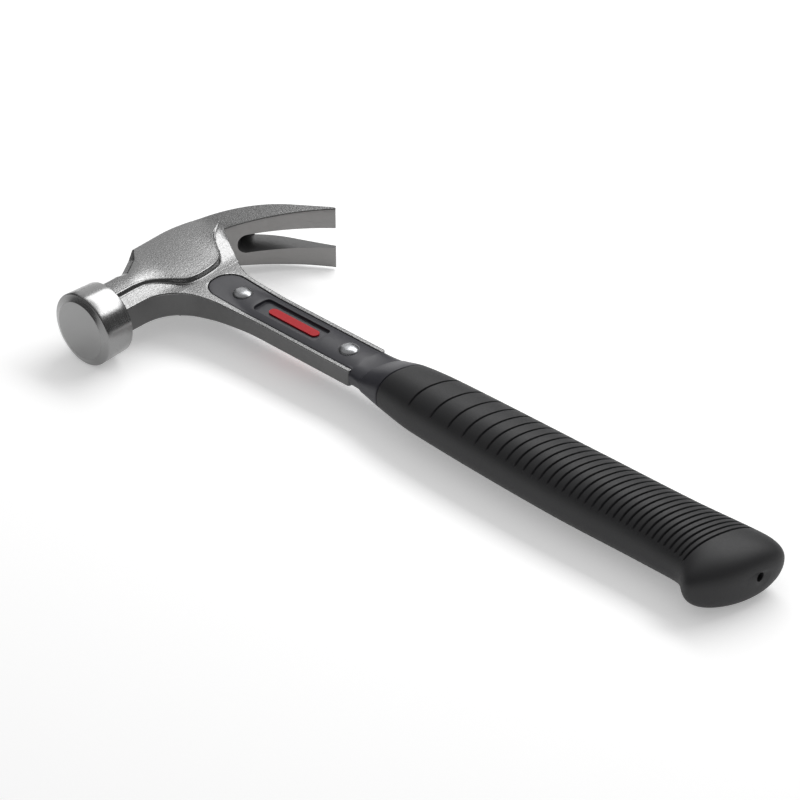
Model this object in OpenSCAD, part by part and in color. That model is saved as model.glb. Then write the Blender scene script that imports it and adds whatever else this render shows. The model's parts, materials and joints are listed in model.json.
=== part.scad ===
// Framing hammer lying on its cheek: a forged head and I-beam shank in one piece,
// two riveted plastic scales that carry on as the core of a ribbed rubber grip.
// Drawn first with X along the handle from the bell's axis to the butt, Y from the
// striking face to the claws and Z up from the middle plane, then set on the floor.

/* [Head] */
// Diameter of the bell at its front edge
bell_d = 33.4; // [28:0.2:38]
// Diameter of the flat striking face
face_d = 26.8; // [20:0.2:27]
// Axial length of the bevel round the face
face_bevel = 1.5; // [0.8:0.1:2.5]
// Length of the bell from its front edge to its rear rim
bell_l = 14.5; // [10:0.5:18]
// Loss of bell radius from the front edge to the rear rim
bell_taper = 0.6; // [0.2:0.1:1.2]
// Handle axis to the striking face
face_reach = 63.3; // [58:0.1:70]
// Thickness across the raised cheeks
cheek_t = 19.5; // [17:0.5:21]
// Thickness of the lower ledge below the cheeks
ledge_t = 11.8; // [10:0.2:14]
// Bell axis to the top of the crown
crown_h = 21.5; // [19:0.5:25]
// Radius of the crown and the claws' outer curve
crown_r = 59.5; // [56:0.5:64]
// Bell axis to the crown side of the neck
neck_top = 9.3; // [8:0.1:11]
// Bell axis to the throat side of the neck
neck_bottom = 9; // [8:0.1:11]
// Radius of the throat between neck and shank
throat_r = 20; // [17:0.5:22]
// Handle axis to the crown corner above the neck
shoulder_y = 13.6; // [10:0.2:17]

/* [Claws] */
// Handle axis to the claw tips
claw_reach = 66.4; // [62:0.2:70]
// Drop of the claw tips below the bell's axis
claw_drop = 25.2; // [22:0.2:28]
// Width across the two claw tips
claw_w = 30.6; // [27:0.2:34]
// Thickness of the claws at their tips
claw_tip_t = 1.4; // [1:0.1:2.5]
// Radius of the claws' hollow underside
underside_r = 110; // [100:1:125]
// Handle axis to the claws' root
claw_root = 24.5; // [23:0.5:26]
// Width of the nail slot on the underside
slot_w = 9.4; // [8.6:0.2:10]
// Depth of the slot between its bevelled walls
slot_depth = 11; // [10:0.1:12.5]
// Width of the slot's floor between its bevelled walls
slot_floor = 5; // [4:0.1:6]
// Handle axis to the round end of the nail slot
slot_root = 35; // [33:0.5:38]
// Amount by which the slot's round end is wider on each side than the slot
slot_relief = 0.2; // [0.1:0.05:0.4]

/* [Shank] */
// Width of the I-beam shank
shank_w = 22.4; // [21.4:0.2:23]
// Thickness of the I-beam shank
shank_t = 7.7; // [7.2:0.1:8.4]
// Thickness of the web between the two channels
web_t = 3; // [2.4:0.1:3.4]
// Width of the steel rim beside each channel
rim_w = 2.2; // [1.6:0.1:3]
// Bell axis to the rounded upper end of the channels
channel_top = 17.5; // [16.5:0.1:20]
// Bell axis to the end of the steel rims
rim_end = 108; // [104:1:111]
// Radius of the rims' rounded corners
rim_corner = 1; // [0.5:0.5:3]
// Width of the tang inside the grip
tang_w = 13; // [10:0.5:14]
// Length of the tang beyond the rims
tang_l = 175; // [120:1:178]

/* [Rivets] */
// Bell axis to the first rivet
rivet_x = 34.2; // [31:0.1:37]
// Spacing of the two rivets
rivet_pitch = 63.5; // [60:0.1:66]
// Diameter of a rivet's shank
rivet_d = 4; // [3:0.2:5]
// Diameter of a rivet's domed head
rivet_head_d = 9; // [7:0.2:10]
// Middle plane to the seat of a rivet's head
rivet_seat = 4.5; // [4.2:0.1:4.6]
// Height of the straight edge of a rivet's head
rivet_edge = 0.6; // [0.4:0.1:1]
// Height of a rivet's dome above that edge
rivet_dome = 1.2; // [0.8:0.1:1.6]

/* [Scales] */
// Depth of the panels' edges below the steel rims near the head
panel_sink = 0.3; // [0.1:0.1:0.6]
// Middle plane to the ridge of the crowned panels
panel_top = 4.95; // [4.8:0.05:5.2]
// Radius of the panels' crown across the handle
panel_crown = 30; // [25:1:40]
// Length of the recess between the rivets
recess_l = 37.6; // [36:0.2:42]
// Width of the recess between the rivets
recess_w = 10.2; // [8:0.2:12]
// Middle plane to the floor of the recess
recess_floor = 3.2; // [2.6:0.1:3.4]
// Corner radius of the recess
recess_r = 2; // [1:0.5:4]
// Length of the coloured bar in the recess
bar_l = 28.5; // [20:0.5:30]
// Width of the coloured bar in the recess
bar_w = 4.4; // [3:0.2:6]
// Thickness of the coloured bar in the recess
bar_t = 0.7; // [0.4:0.1:1.2]
// Bell axis to the raised front of the collar
collar_x = 117.5; // [116:0.5:120]
// Width of the collar at its front
collar_w = 25.6; // [24:0.2:27]
// Thickness of the collar at its front
collar_t = 12.6; // [11:0.2:14]
// Width of the core inside the grip
core_w = 19; // [17:0.5:21]
// Thickness of the core inside the grip
core_t = 14; // [11:0.5:15]
// Corner radius of the core
core_r = 4; // [2:0.5:5]
// Length of the core inside the grip
core_l = 164; // [150:1:168]

/* [Grip] */
// Bell axis to the front of the grip on the handle's axis
grip_x = 128.7; // [126:0.5:134]
// Length of the grip on the handle's axis
grip_l = 188.3; // [184:0.5:200]
// Slant of the grip's front, grooves and butt in degrees
grip_rake = 11.3; // [0:0.1:14]
// Width of the grip at its front
grip_w_front = 28; // [26.5:0.2:30]
// Width of the grip at the thumb
grip_w_thumb = 31.8; // [29:0.2:34]
// Width of the grip at the palm swell
grip_w_palm = 35.8; // [33:0.2:38]
// Width of the grip before the butt
grip_w_waist = 36; // [33:0.2:38]
// Width of the grip at the butt, without the finger stop
grip_w_butt = 39; // [36:0.2:42]
// Thickness of the grip at its front
grip_t_front = 19.4; // [18.5:0.2:21]
// Thickness of the grip at the thumb
grip_t_thumb = 22.8; // [21:0.2:25]
// Thickness of the grip at the palm swell
grip_t_palm = 24.6; // [22:0.2:27]
// Thickness of the grip at the butt
grip_t_butt = 23; // [21:0.2:26]
// Height of the finger stop on the butt
stop_h = 7.5; // [4:0.5:9]
// Length over which the finger stop swells
stop_l = 8; // [6:0.5:10]
// Finger stop's crest to the butt end
stop_x = 9; // [8:0.5:12]
// Length of the rounded butt
butt_l = 18; // [15:0.5:22]
// Diameter of the blind hole in the butt
butt_hole_d = 4; // [3:0.2:5]
// Depth of the blind hole in the butt
butt_hole_l = 12; // [8:0.5:16]

/* [Grooves] */
// Number of grooves across the grip
groove_count = 34; // [20:1:36]
// Front of the grip to the first groove
groove_first = 19.7; // [16:0.1:24]
// Spacing of the first two grooves
groove_pitch_front = 12.8; // [10:0.1:13]
// Spacing once the grooves have closed up
groove_pitch_mid = 4.6; // [4:0.1:4.7]
// Spacing of the last two grooves
groove_pitch_back = 2.75; // [2.4:0.05:2.8]
// Number of grooves over which the spacing closes up
groove_fade = 2.8; // [2:0.1:3]
// Width of a groove
groove_w = 1.3; // [0.8:0.1:1.6]
// Depth of a groove
groove_depth = 0.8; // [0.4:0.1:1.2]

/* [Hidden] */

steel = "#8c8f92";
plastic = "#47484d";
chrome = "#c9ccd0";
rubber = "#2f3033";
red = "#c92a35";

// Clearance between parts that slide or are moulded together
fit = 0.1;
// Visible seam between the collar and the grip
seam = 0.3;
// Amount by which a cutting shape passes the face that it opens
past = 2;
// Length that is longer than the part is wide
over = 200;
$fn = 72;

// Sections of collar and grip: exponent of the oval, exponent of the squarer section
// beside the steel rims, share by which the claw side is thinner, and number of sides
oval_power = 2.2;
block_power = 3;
oval_egg = 0.1;
sides = 32;
rake = tan(grip_rake);

// Shares of a groove's height on the oval where it starts and is full
groove_low = 0.45;
groove_high = 0.72;

function mix(a, b, t) = a + (b - a) * t;
function clamp(t) = min(1, max(0, t));
function ease(t) = 0.5 - 0.5 * cos(180 * clamp(t));
function unit(v) = v / norm(v);
function across(v) = [-v.y, v.x];

// Polygon points for a list of corners [x, y, radius], each rounded by an arc
arc_steps = 7;
function corner_arc(a, b, c, r) =
    let (u = unit(a - b), v = unit(c - b))
    let (half = acos(max(-1, min(1, u * v))) / 2)
    let (middle = b + unit(u + v) * r / sin(half))
    let (from = b + u * r / tan(half) - middle, to = b + v * r / tan(half) - middle)
    [for (k = [0:arc_steps]) middle + r * unit(mix(from, to, k / arc_steps))];
function xy(p) = [p.x, p.y];
function rounded(corners) =
    let (n = len(corners))
    [for (i = [0:n - 1])
        let (a = corners[(i + n - 1) % n], b = corners[i], c = corners[(i + 1) % n])
        each b.z > 0 ? corner_arc(xy(a), xy(b), xy(c), b.z) : [xy(b)]];

// Smooth curve through stations, with the mean slope of the neighbours at each one
function station(x, xs, i = 0) = i >= len(xs) - 2 || x < xs[i + 1] ? i : station(x, xs, i + 1);
function slope(xs, vs, i) =
    let (a = max(i - 1, 0), b = min(i + 1, len(xs) - 1))
    (vs[b] - vs[a]) / (xs[b] - xs[a]);
function through(x, xs, vs) =
    let (i = station(x, xs), h = xs[i + 1] - xs[i], t = clamp((x - xs[i]) / h))
    vs[i] * (2 * t ^ 3 - 3 * t ^ 2 + 1) + slope(xs, vs, i) * h * (t ^ 3 - 2 * t ^ 2 + t)
    + vs[i + 1] * (3 * t ^ 2 - 2 * t ^ 3) + slope(xs, vs, i + 1) * h * (t ^ 3 - t ^ 2);

// Head
bell_r = bell_d / 2;
bell_front = face_reach - face_bevel;
bell_rear = bell_front - bell_l;
rim_r = bell_r - bell_taper;
rim_chamfer = 0.7;
neck_r = 8.4;
neck_sweep = 5;

// Crown curve: an arc that runs on as a tangent to the claw tips
crown_y = 5;
crown_centre = [crown_r - crown_h, crown_y];
claw_tip = [claw_drop, claw_reach];
tip_ray = claw_tip - crown_centre;
tip_bearing = atan2(tip_ray.y, tip_ray.x) + acos(crown_r / norm(tip_ray));
claw_tangent = crown_centre + crown_r * [cos(tip_bearing), sin(tip_bearing)];
claw_run = unit(claw_tip - claw_tangent);
claw_tip_under = claw_tip - claw_tip_t * across(claw_run);

// Underside of the claws: an arc from the root to the tips
root_x = -4.2;
root_point = [root_x, claw_root];
under_chord = claw_tip_under - root_point;
under_sag = sqrt(underside_r ^ 2 - (norm(under_chord) / 2) ^ 2);
under_centre = (root_point + claw_tip_under) / 2 - under_sag * across(unit(under_chord));
function under_point(y) =
    [under_centre.x - sqrt(underside_r ^ 2 - (y - under_centre.y) ^ 2), y];
slot_ray = under_point(slot_root) - under_centre;
slot_bearing = atan2(slot_ray.y, slot_ray.x);

// Outline of the raised cheeks, from the neck round to the crown
cheek_ridge = 1;
cheek_foot = 13.2;
cheek_outline = rounded([
    [-neck_top, -bell_rear - past, 0],
    [cheek_ridge, -bell_rear - past, 0],
    [cheek_ridge, -26.5, 9],
    [cheek_foot, -12, 5],
    [cheek_foot, 4.5, 6],
    [7.5, 12.5, 14],
    [-5.5, 20, 9],
    [root_x - 4.6, claw_root + 2.5, 0],
    [-crown_h + 4, claw_root + 2.5, 0],
    [-crown_h + 4, crown_y, 0],
    [-crown_h, crown_y, 0],
    [-crown_h + 0.9, -shoulder_y, 1],
    [-neck_top, -32, 6],
]);

// Outline of the lower ledge and the shank
half_w = shank_w / 2;
throat_x = neck_bottom + throat_r;
throat_y = -34.4;
throat_turn = 108;
throat_end = [throat_x + throat_r * cos(throat_turn), throat_y + throat_r * sin(throat_turn)];
throat_steps = 10;
ledge_knee = [33, -12.75];
ledge_blend = 52;
ledge_claw = 24;
throat_arc = [for (k = [0:throat_steps])
    let (a = mix(180, throat_turn, k / throat_steps))
    [throat_x + throat_r * cos(a), throat_y + throat_r * sin(a)]];
ledge_outline = concat(
    [[-neck_top + 1, -bell_rear - past], [neck_bottom, -bell_rear - past]],
    throat_arc,
    rounded([
        [throat_end.x + 0.5, throat_end.y + 0.15, 0],
        [ledge_knee.x, ledge_knee.y, 30],
        [ledge_blend, -half_w, 60],
        [rim_end, -half_w, rim_corner],
        [rim_end, half_w, rim_corner],
        [ledge_claw, half_w, 26],
        [root_x + 0.7, claw_root + 1, 0],
        [-12, claw_root - 6, 0],
        [-12, -shoulder_y, 0],
    ])
);

// Half thickness of the ledge and the rims along the handle
ledge_from = 10;
ledge_to = 54;
function rim_z(x) = mix(ledge_t, shank_t, ease((x - ledge_from) / (ledge_to - ledge_from))) / 2;
profile_step = 2;

// Channels, scales and grip
channel_w = shank_w - 2 * rim_w;
channel_r = 9.2;
channel_flare = 1;
rivets_x = [rivet_x, rivet_x + rivet_pitch];
panel_bury = 4;
recess_shift = -2.3;
recess_x = rivet_x + rivet_pitch / 2 + recess_shift;
bar_x = recess_x + 1.5;
tang_end = rim_end + tang_l;
collar_end = grip_x - seam;
core_bury = 4;
core_end = grip_x + core_l;
grip_end = grip_x + grip_l;
butt_x = grip_end - butt_l;

// Stations along the grip, with its width, sideways lean and thickness at each
thumb_x = grip_x + 21;
palm_x = mix(thumb_x, butt_x, 0.5);
waist_x = butt_x - 28;
grip_xs = [collar_x, grip_x, thumb_x, palm_x, waist_x, butt_x, grip_end];
grip_ws = [collar_w, grip_w_front, grip_w_thumb, grip_w_palm, grip_w_waist, grip_w_butt, grip_w_butt];
grip_ts = [collar_t, grip_t_front, grip_t_thumb, grip_t_palm, grip_t_palm, grip_t_butt, grip_t_butt];
grip_leans = [0.6, 0.6, -0.4, -1.6, -1.1, -0.3, -0.3];
front_round = 0.6;
dome_power_y = 3.2;
dome_power_top = 2.7;
dome_power_under = 4.5;

function signed_power(v, p) = sign(v) * pow(abs(v), p);
function dome(x, p) = x <= butt_x ? 1 : pow(max(0, 1 - pow((x - butt_x) / butt_l, p)), 1 / p);
function stop(x) = stop_h * exp(-((x - grip_end + stop_x) / stop_l) ^ 2);

// Flare from the section beside the rims (0) to the full oval at the collar's crease (1)
function flare(x) = clamp((x - rim_end) / (collar_x - rim_end));
function section_w(x) = x < collar_x ? mix(shank_w, collar_w, flare(x) ^ 1.5) : through(x, grip_xs, grip_ws);
function section_t(x) =
    x < collar_x ? mix(2 * panel_top, collar_t, flare(x) ^ 2) : through(x, grip_xs, grip_ts);
function section_lean(x) = flare(x) * through(x, grip_xs, grip_leans);

// One point of the oval section at station x, sunk by a groove and drawn in by inset
function oval(x, angle, sunk = 0, inset = 0) =
    let (f = flare(x), power = 2 / mix(block_power, oval_power, f))
    let (c = signed_power(cos(angle), power), s = signed_power(sin(angle), power))
    let (half = section_w(x) / 2 - inset + (c < 0 ? stop(x) : 0))
    let (thick = section_t(x) / 2 - inset)
    let (y = (section_lean(x) + half * c) * dome(x, dome_power_y))
    let (height = clamp((abs(s) - groove_low) / (groove_high - groove_low)))
    let (shut = dome(x, s < 0 ? dome_power_under : dome_power_top))
    let (z = (thick * s * (1 - oval_egg * f * c) - sign(s) * sunk * height) * shut)
    [x + rake * f * y, y, z];
function middle(x) = let (y = section_lean(x)) [x + rake * flare(x) * y, y, 0];
function ring(x, sunk = 0, inset = 0) =
    [for (k = [0:sides - 1]) oval(x, 360 * (k + 0.5) / sides, sunk, inset)];

// Grooves: the spacing falls fast at first and then slowly
function groove_pitch(i) =
    (groove_pitch_front - groove_pitch_mid) * exp(-i / groove_fade)
    + mix(groove_pitch_mid, groove_pitch_back, i / (groove_count - 1));
function groove_x(i) = i == 0 ? grip_x + groove_first : groove_x(i - 1) + groove_pitch(i - 1);
grooves = [for (i = [0:groove_count - 1]) if (groove_x(i) < butt_x - groove_w) groove_x(i)];
dome_steps = 12;
grip_rings = concat(
    [ring(grip_x, 0, front_round), ring(grip_x + front_round)],
    [for (x = grooves) each [ring(x - groove_w / 2), ring(x, groove_depth), ring(x + groove_w / 2)]],
    [for (k = [0:dome_steps - 1]) ring(butt_x + butt_l * sin(90 * k / dome_steps))]
);
butt_point = [grip_end, 0, 0];
butt_reach = max([for (r = grip_rings) for (p = r) p.x]);

// Place of the drawing's zero in the part's own frame: middle of the box, on the floor
origin = [(butt_reach - crown_h) / 2, (claw_reach - face_reach) / 2, -bell_r];

module set_down() {
    translate(-origin) children();
}

// Closed skin over a list of rings, fanned to a point at the start and at the end
module skin(rings, start, end) {
    n = len(rings);
    points = concat([for (r = rings) each r], [start, end]);
    walls = [for (i = [0:n - 2]) for (k = [0:sides - 1])
        let (a = i * sides + k, b = i * sides + (k + 1) % sides)
        each [[a, b + sides, b], [a, a + sides, b + sides]]];
    front = [for (k = [0:sides - 1]) [k, (k + 1) % sides, n * sides]];
    last = (n - 1) * sides;
    back = [for (k = [0:sides - 1]) [last + (k + 1) % sides, last + k, n * sides + 1]];
    polyhedron(points, concat(walls, front, back), convexity = 8);
}

// Revolved bell: bevelled face, tapered side, chamfered rim and a hollow sweep to the neck
module bell() {
    sweep = [for (k = [0:6]) let (a = 15 * k)
        [neck_r + (rim_r - rim_chamfer - neck_r) * (1 - cos(a)), bell_rear - neck_sweep * (1 - sin(a))]];
    rotate([90, 0, 0])
        rotate_extrude()
            polygon(concat(
                [[0, bell_rear - neck_sweep]],
                sweep,
                [[rim_r, bell_rear + rim_chamfer], [bell_r, bell_front]],
                [[face_d / 2, face_reach], [0, face_reach]]
            ));
}

module cheeks() {
    linear_extrude(cheek_t, center = true) polygon(cheek_outline);
}

// Ledge and I-beam blank: one outline whose thickness falls along the handle
module ledge() {
    xs = [for (x = [-neck_top - past:profile_step:ledge_to]) x];
    top = concat([for (x = xs) [x, rim_z(x)]], [[rim_end + past, shank_t / 2]]);
    bottom = [for (i = [len(top) - 1:-1:0]) [top[i].x, -top[i].y]];
    intersection() {
        linear_extrude(cheek_t, center = true) polygon(ledge_outline);
        rotate([90, 0, 0]) linear_extrude(over, center = true) polygon(concat(top, bottom));
    }
}

// Claws seen along Z: inside the crown curve and outside the underside's arc
module claw_outline() {
    difference() {
        union() {
            intersection() {
                translate(crown_centre) circle(crown_r, $fn = 180);
                polygon([
                    [-crown_h - past, crown_y], [cheek_foot - 14, crown_y], [root_x + 2, claw_root],
                    claw_tip_under, claw_tangent, [-crown_h - past, claw_tangent.y],
                ]);
            }
            polygon([claw_tangent, claw_tip, claw_tip_under, under_point(claw_tangent.y - 4)]);
        }
        translate(under_centre) circle(underside_r, $fn = 180);
    }
}

// Claws seen along the handle: they flare from the cheeks to the tips
module claw_flare() {
    side = [[crown_y - past, cheek_t / 2], [claw_root - 3, cheek_t / 2], [claw_reach + past, claw_w / 2]];
    mirrored = [for (i = [len(side) - 1:-1:0]) [side[i].x, -side[i].y]];
    rotate([90, 0, 90]) linear_extrude(over, center = true) polygon(concat(side, mirrored));
}

module claws() {
    intersection() {
        linear_extrude(claw_w + past, center = true) claw_outline();
        claw_flare();
    }
}

// Bevelled nail slot: a tapered groove turned round the underside's centre, with a cone at its root
module nail_slot() {
    top = slot_w / 2 + past * (slot_w - slot_floor) / 2 / slot_depth;
    floor = slot_floor / 2;
    translate(under_centre) {
        rotate(slot_bearing - 60)
            rotate_extrude(angle = 60, $fn = 360)
                polygon([
                    [underside_r - past, top],
                    [underside_r - past, -top],
                    [underside_r + slot_depth, -floor],
                    [underside_r + slot_depth, floor],
                ]);
        rotate([0, 90, slot_bearing])
            translate([0, 0, underside_r - past])
                cylinder(h = slot_depth + past, r1 = top + slot_relief, r2 = floor + slot_relief);
    }
}

// Channel with a rounded upper end, a little wider there on the poll side, drawn in by a clearance
module channel_outline(end, gap = 0) {
    half = channel_w / 2 - gap;
    r = channel_r - gap;
    polygon(rounded([
        [channel_top + gap, half, r],
        [channel_top + gap, -half - channel_flare, r],
        [ledge_blend, -half, 60],
        [end, -half, 0],
        [end, half, 0],
    ]));
}

module both_sides() {
    children();
    mirror([0, 0, 1]) children();
}

module rivet_bores(gap) {
    for (x = rivets_x)
        translate([x, 0, 0]) cylinder(h = over, d = rivet_d + 2 * gap, center = true);
}

module head_and_shank() {
    color(steel) difference() {
        union() {
            bell();
            cheeks();
            ledge();
            difference() {
                claws();
                nail_slot();
            }
            translate([rim_end - past, -tang_w / 2, -web_t / 2]) cube([tang_l + past, tang_w, web_t]);
        }
        both_sides()
            translate([0, 0, web_t / 2]) linear_extrude(cheek_t) channel_outline(rim_end + past);
        rivet_bores(fit);
    }
}

// Panel that fills a channel: crowned across the handle, and just below the rims near the head
module panel() {
    end = rim_end + panel_bury;
    front = channel_top - past;
    xs = [for (x = [front:profile_step:ledge_to]) x];
    slope = concat([for (x = xs) [x, rim_z(x) - panel_sink]], [[end + past, shank_t / 2 - panel_sink]]);
    intersection() {
        translate([0, 0, web_t / 2]) linear_extrude(cheek_t) channel_outline(end, fit);
        union() {
            rotate([90, 0, 0]) linear_extrude(over, center = true)
                polygon(concat([[front, 0]], slope, [[end + past, 0]]));
            translate([front, 0, panel_top - panel_crown]) rotate([0, 90, 0])
                cylinder(h = end + past - front, r = panel_crown, $fn = 144);
        }
    }
}

// Collar that flares from the end of the steel rims to the front of the grip
module collar() {
    flare_steps = 7;
    collar_steps = 3;
    rings = concat(
        [for (k = [0:flare_steps - 1]) ring(mix(rim_end + fit, collar_x, k / flare_steps))],
        [for (k = [0:collar_steps]) ring(mix(collar_x, collar_end, k / collar_steps))]
    );
    skin(rings, middle(rim_end + fit), middle(collar_end));
}

module core_outline(gap) {
    w = core_w / 2 + gap;
    t = core_t / 2 + gap;
    r = core_r + gap;
    polygon(rounded([[-w, -t, r], [w, -t, r], [w, t, r], [-w, t, r]]));
}

module core(from, to, gap) {
    translate([from, 0, 0]) rotate([90, 0, 90]) linear_extrude(to - from) core_outline(gap);
}

// Upper scale: panel, collar and core in one moulding, open below for the web and the tang
module scale_half() {
    color(plastic) difference() {
        union() {
            panel();
            collar();
            core(collar_end - core_bury, core_end, 0);
        }
        translate([0, -over / 2, -over]) cube([2 * over, over, over]);
        translate([rim_end - past, -tang_w / 2 - fit, -past])
            cube([tang_l + past + fit, tang_w + 2 * fit, web_t / 2 + past]);
        translate([recess_x, 0, recess_floor])
            linear_extrude(cheek_t)
                polygon(rounded([for (c = [[-1, -1], [1, -1], [1, 1], [-1, 1]])
                    [c.x * recess_l / 2, c.y * recess_w / 2, recess_r]]));
        rivet_bores(fit);
        for (x = rivets_x)
            translate([x, 0, rivet_seat]) cylinder(h = cheek_t, d = rivet_head_d + 2 * fit);
    }
}

module scale_upper() {
    scale_half();
}

module scale_lower() {
    mirror([0, 0, 1]) scale_half();
}

// Solid rivet with a domed head at each end
module rivets() {
    head_r = rivet_head_d / 2;
    dome_r = (head_r ^ 2 + rivet_dome ^ 2) / (2 * rivet_dome);
    edge = rivet_seat + rivet_edge;
    color(chrome)
        for (x = rivets_x)
            translate([x, 0, 0]) {
                cylinder(h = 2 * rivet_seat, d = rivet_d, center = true);
                both_sides() {
                    translate([0, 0, rivet_seat]) cylinder(h = rivet_edge, r = head_r);
                    intersection() {
                        translate([0, 0, edge]) cylinder(h = rivet_dome, r = head_r);
                        translate([0, 0, edge + rivet_dome - dome_r]) sphere(dome_r);
                    }
                }
            }
}

// Rubber grip: raked oval sections with grooves, a finger stop and a blind hole in the butt
module grip() {
    color(rubber) difference() {
        skin(grip_rings, middle(grip_x), butt_point);
        core(grip_x - grip_w_front, core_end + fit, fit);
        translate([grip_end - butt_hole_l, 0, 0])
            rotate([0, 90, 0]) cylinder(h = butt_hole_l + past, d = butt_hole_d);
    }
}

// Plain coloured bar on the floor of a recess
module bar() {
    color(red)
        translate([bar_x, 0, recess_floor]) linear_extrude(bar_t) {
            square([bar_l - bar_w, bar_w], center = true);
            for (side = [-1, 1]) translate([side * (bar_l - bar_w) / 2, 0]) circle(d = bar_w);
        }
}

module bar_upper() {
    bar();
}

module bar_lower() {
    mirror([0, 0, 1]) bar();
}

set_down() head_and_shank();
set_down() scale_upper();
set_down() scale_lower();
set_down() rivets();
set_down() grip();
set_down() bar_upper();
set_down() bar_lower();
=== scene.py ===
"""Framing hammer lying on its cheek, dressed and lit for the camera.

Shapes are worked out in millimetres in the hammer's drawing frame: X runs along the handle from
the bell's axis to the butt, Y from the striking face to the claws, Z up from the middle plane.
"""
import json
import math

import bmesh
import bpy
import numpy as np
from mathutils import Matrix, Vector


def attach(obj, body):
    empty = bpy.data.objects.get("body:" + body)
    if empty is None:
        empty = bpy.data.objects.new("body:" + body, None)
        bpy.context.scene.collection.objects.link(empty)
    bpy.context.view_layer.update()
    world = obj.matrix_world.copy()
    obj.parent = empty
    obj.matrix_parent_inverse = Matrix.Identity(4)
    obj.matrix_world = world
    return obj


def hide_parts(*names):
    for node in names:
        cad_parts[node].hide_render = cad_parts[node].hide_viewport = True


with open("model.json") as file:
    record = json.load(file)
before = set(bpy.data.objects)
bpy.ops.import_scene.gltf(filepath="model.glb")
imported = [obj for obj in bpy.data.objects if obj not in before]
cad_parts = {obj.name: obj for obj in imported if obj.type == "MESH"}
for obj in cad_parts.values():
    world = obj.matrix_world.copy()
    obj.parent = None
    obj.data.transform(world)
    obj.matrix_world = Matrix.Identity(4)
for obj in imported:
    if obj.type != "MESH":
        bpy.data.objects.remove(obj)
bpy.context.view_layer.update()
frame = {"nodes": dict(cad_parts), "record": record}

MM = 0.001
# From the handle's axis to the striking face
FACE_REACH = 63.3
# Points that lie closer than this many metres become one
WELD = 1e-6

# The striking face's mount gives the drawing's zero point in the part's own frame
face_mount = [m for m in frame["record"]["mounts"] if m["name"] == "striking_face"][0]
ZERO = np.array(face_mount["pos_m"]) / MM + np.array([0, FACE_REACH, 0])


# Curves

def mix(a, b, t):
    """Straight blend from a to b as t goes from 0 to 1."""
    return a + (b - a) * t


def smooth(t):
    """Blend from 0 to 1 with level ends."""
    t = np.clip(t, 0, 1)
    return t * t * (3 - 2 * t)


def rise(v, start, length):
    """Blend from 0 to 1 with level ends, which begins at start and takes a length."""
    return smooth((v - start) / length)


def signed_power(v, p):
    """Power of a number's size, with its sign kept."""
    return np.sign(v) * np.abs(v) ** p


def through(x, stations):
    """Smooth curve through stations (x, value): a cubic between neighbours, with the mean slope at each."""
    xs, vs = np.array(stations, float).T
    count = np.arange(len(xs))
    before = np.maximum(count - 1, 0)
    after = np.minimum(count + 1, len(xs) - 1)
    slope = (vs[after] - vs[before]) / (xs[after] - xs[before])
    i = np.clip(np.searchsorted(xs, x, side="right") - 1, 0, len(xs) - 2)
    h = xs[i + 1] - xs[i]
    t = np.clip((x - xs[i]) / h, 0, 1)
    start = vs[i] * (2 * t**3 - 3 * t**2 + 1) + slope[i] * h * (t**3 - 2 * t**2 + t)
    end = vs[i + 1] * (3 * t**2 - 2 * t**3) + slope[i + 1] * h * (t**3 - t**2)
    return start + end


def soft_max(a, b, width):
    """The larger of two heights, with the crease between them rounded over a width."""
    return (a + b + np.sqrt((a - b) ** 2 + width**2)) / 2


def unit(v):
    """Vectors of length one along the last axis."""
    return v / np.linalg.norm(v, axis=-1, keepdims=True)


# Meshes

def grid_faces(rows, cols, wrap, first=0):
    """Quads over a grid of points stored row by row, closed round each row where wrap is true."""
    r = np.arange(rows - 1)[:, None]
    c = np.arange(cols if wrap else cols - 1)[None, :]
    a = first + r * cols + c
    b = first + r * cols + (c + 1) % cols
    return np.stack([a, b, b + cols, a + cols], -1).reshape(-1, 4)


def add_piece(name, points, faces, finishes, nodes, indices=None, sharp=32):
    """Make one closed piece: weld its seams and poles, fill its ends and turn its faces outwards."""
    mesh = bpy.data.meshes.new(name)
    mesh.from_pydata(((points + ZERO) * MM).tolist(), [], faces.tolist())
    for finish in finishes:
        mesh.materials.append(finish)
    if indices is not None:
        mesh.polygons.foreach_set("material_index", indices.astype(np.int32))
    shell = bmesh.new()
    shell.from_mesh(mesh)
    bmesh.ops.remove_doubles(shell, verts=shell.verts, dist=WELD)
    rims = [edge for edge in shell.edges if edge.is_boundary]
    bmesh.ops.holes_fill(shell, edges=rims, sides=0)
    bmesh.ops.recalc_face_normals(shell, faces=shell.faces)
    shell.to_mesh(mesh)
    shell.free()
    mesh.shade_smooth()
    mesh.set_sharp_from_angle(angle=math.radians(sharp))
    piece = bpy.data.objects.new(name, mesh)
    bpy.context.scene.collection.objects.link(piece)
    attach(piece, "root")
    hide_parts(*nodes)


# Materials

def linear(code):
    """Linear RGBA of an sRGB hex colour."""
    srgb = np.array([int(code[i:i + 2], 16) for i in (1, 3, 5)]) / 255
    rgb = np.where(srgb <= 0.04045, srgb / 12.92, ((srgb + 0.055) / 1.055) ** 2.4)
    return (*rgb, 1)


def per_mm(size):
    """Noise scale at which one grain measures size millimetres."""
    return 1 / (size * MM)


def add(tree, kind, sockets=None, **settings):
    """Add a node with its settings, and fill its sockets with values or links."""
    node = tree.nodes.new(kind)
    for key, value in settings.items():
        setattr(node, key, value)
    for key, value in (sockets or {}).items():
        if isinstance(value, bpy.types.NodeSocket):
            tree.links.new(value, node.inputs[key])
        else:
            node.inputs[key].default_value = value
    return node


# Nearly all values of a noise texture lie between these two
NOISE_LOW = 0.3
NOISE_HIGH = 0.7


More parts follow.
